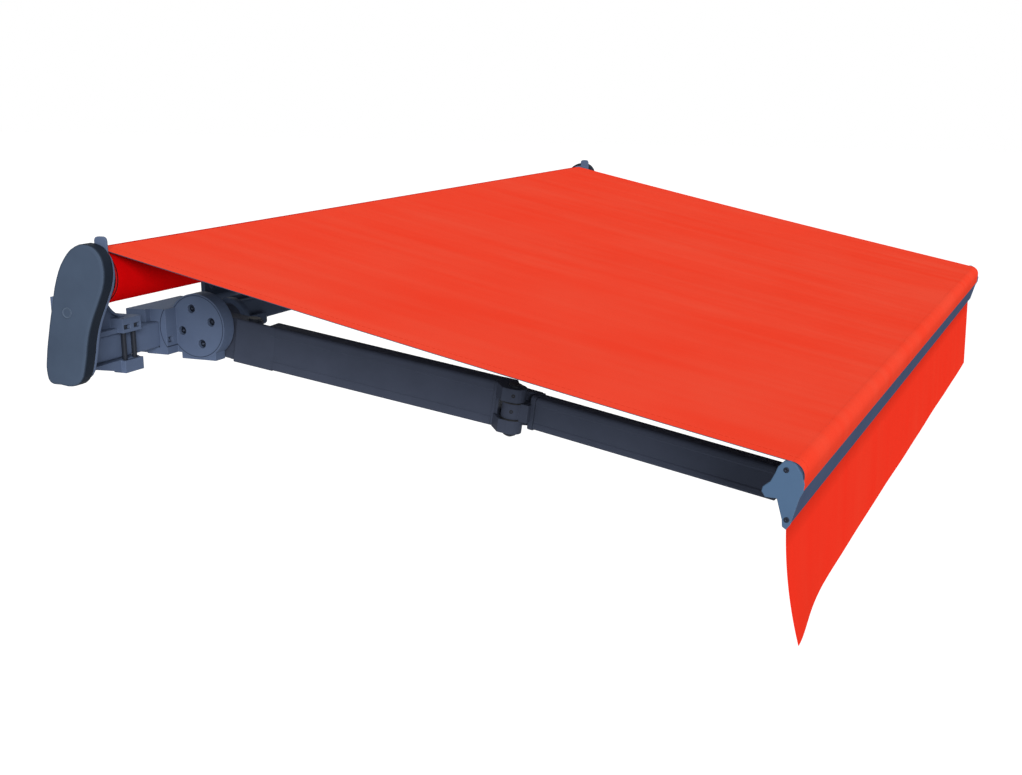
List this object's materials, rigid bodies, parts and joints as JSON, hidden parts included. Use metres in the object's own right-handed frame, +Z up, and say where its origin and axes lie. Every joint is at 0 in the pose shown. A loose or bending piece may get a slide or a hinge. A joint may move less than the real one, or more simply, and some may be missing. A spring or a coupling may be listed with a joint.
{
  "type": "folding arm awning",
  "caption": "Open retractable awning: red canvas from a roller on a square bar, two folding arms, front rail with a hanging valance.",
  "frame": {"origin": "middle of the centre wall bracket's back face, on the wall plane, at the height of the torsion bar's axis", "axes": "+X along the wall to the right seen from the street, +Y into the wall, +Z up; the awning stands out towards -Y"},
  "size_m": [1.8576, 1.1275, 0.4519],
  "materials": {
    "bracket_coating": "cast aluminium, slate blue powder coating",
    "arm_coating": "extruded aluminium, navy powder coating",
    "rail_coating": "extruded aluminium, blue powder coating",
    "cap_plastic": "moulded blue plastic",
    "cover_plastic": "moulded slate blue plastic",
    "zinc_steel": "zinc plated steel",
    "roller_steel": "galvanised steel tube",
    "red_canvas": "red awning canvas, fine plain weave",
    "wound_canvas": "the same canvas wound on the roller",
    "black_plastic": "glass filled black plastic"
  },
  "bodies": {
    "frame": {"torsion_bar": "bracket_coating", "bar_plug_left": "black_plastic", "bar_plug_right": "black_plastic", "wall_bracket_centre": "bracket_coating", "wall_bracket_left": "bracket_coating", "wall_bracket_right": "bracket_coating", "roller_bracket_left": "bracket_coating", "roller_clamp_left": "bracket_coating", "clamp_bolt_left_1": "zinc_steel", "clamp_bolt_left_2": "zinc_steel", "end_cover_left": "cover_plastic", "shoulder_bracket_left": "bracket_coating", "shoulder_clamp_left": "bracket_coating", "pitch_pin_left": "zinc_steel", "roller_bracket_right": "bracket_coating", "roller_clamp_right": "bracket_coating", "clamp_bolt_right_1": "zinc_steel", "clamp_bolt_right_2": "zinc_steel", "end_cover_right": "cover_plastic", "shoulder_bracket_right": "bracket_coating", "shoulder_clamp_right": "bracket_coating", "pitch_pin_right": "zinc_steel", "gearbox": "black_plastic"},
    "roller": {"roller_tube": "roller_steel", "roller_plug_left": "black_plastic", "roller_plug_right": "black_plastic", "fabric_roll": "wound_canvas"},
    "crank": {"crank_eye": "zinc_steel"},
    "knuckle_left": {"pitch_knuckle_left": "bracket_coating", "shoulder_pin_left": "zinc_steel", "canopy": "red_canvas"},
    "knuckle_right": {"pitch_knuckle_right": "bracket_coating", "shoulder_pin_right": "zinc_steel"},
    "rear_arm_left": {"rear_arm_left": "arm_coating", "arm_root_left": "arm_coating", "elbow_fork_left": "bracket_coating", "elbow_pin_left": "zinc_steel", "arm_spring_left": "zinc_steel"},
    "forearm_left": {"forearm_left": "arm_coating", "elbow_eye_left": "bracket_coating", "forearm_end_left": "bracket_coating"},
    "rear_arm_right": {"rear_arm_right": "arm_coating", "arm_root_right": "arm_coating", "elbow_fork_right": "bracket_coating", "elbow_pin_right": "zinc_steel", "arm_spring_right": "zinc_steel"},
    "forearm_right": {"forearm_right": "arm_coating", "elbow_eye_right": "bracket_coating", "forearm_end_right": "bracket_coating"},
    "front_bar": {"front_rail": "rail_coating", "valance": "red_canvas", "front_cap_left": "cap_plastic", "front_cap_right": "cap_plastic", "front_bracket_left": "bracket_coating", "front_bracket_right": "bracket_coating", "front_pin_left": "zinc_steel", "front_pin_right": "zinc_steel"}
  },
  "joints": [
    {"name": "pitch_left", "type": "hinge", "parent": "frame", "child": "knuckle_left", "pos_m": [-0.62, -0.11, 0.012], "axis": [1, 0, 0], "range_deg": [-4, 12]},
    {"name": "pitch_right", "type": "hinge", "parent": "frame", "child": "knuckle_right", "pos_m": [0.62, -0.11, 0.012], "axis": [1, 0, 0], "range_deg": [-4, 12]},
    {"name": "fold_left", "type": "hinge", "parent": "knuckle_left", "child": "rear_arm_left", "pos_m": [-0.62, -0.18, -0.015], "axis": [0, -0.1612, 0.9869], "range_deg": [0, 76], "deforming": ["canopy"]},
    {"name": "elbow_left", "type": "hinge", "parent": "rear_arm_left", "child": "forearm_left", "pos_m": [-0.61215, -0.624, -0.0875], "axis": [0, -0.1612, 0.9869], "range_deg": [-152, 0]},
    {"name": "front_left", "type": "hinge", "parent": "forearm_left", "child": "front_bar", "pos_m": [-0.62, -1.068, -0.16], "axis": [0, -0.1612, 0.9869], "range_deg": [0, 76]},
    {"name": "fold_right", "type": "hinge", "parent": "knuckle_right", "child": "rear_arm_right", "pos_m": [0.62, -0.18, -0.015], "axis": [0, -0.1612, 0.9869], "range_deg": [-76, 0]},
    {"name": "elbow_right", "type": "hinge", "parent": "rear_arm_right", "child": "forearm_right", "pos_m": [0.61215, -0.624, -0.0875], "axis": [0, -0.1612, 0.9869], "range_deg": [0, 152]},
    {"name": "roller_spin", "type": "hinge", "parent": "frame", "child": "roller", "pos_m": [0, -0.118, 0.122], "axis": [1, 0, 0], "range_deg": [-924.92, 0]},
    {"name": "crank_spin", "type": "hinge", "parent": "frame", "child": "crank", "pos_m": [0.9173, -0.088, 0], "axis": [0, 0, 1], "range_deg": [0, 3699.68]}
  ],
  "couplings": [
    {"joint": "pitch_right", "follows": "pitch_left", "ratio": 1},
    {"joint": "elbow_left", "follows": "fold_left", "ratio": -2},
    {"joint": "front_left", "follows": "fold_left", "ratio": 1},
    {"joint": "fold_right", "follows": "fold_left", "ratio": -1},
    {"joint": "elbow_right", "follows": "fold_left", "ratio": 2},
    {"joint": "roller_spin", "follows": "fold_left", "ratio": -12.17},
    {"joint": "crank_spin", "follows": "fold_left", "ratio": 48.68}
  ]
}
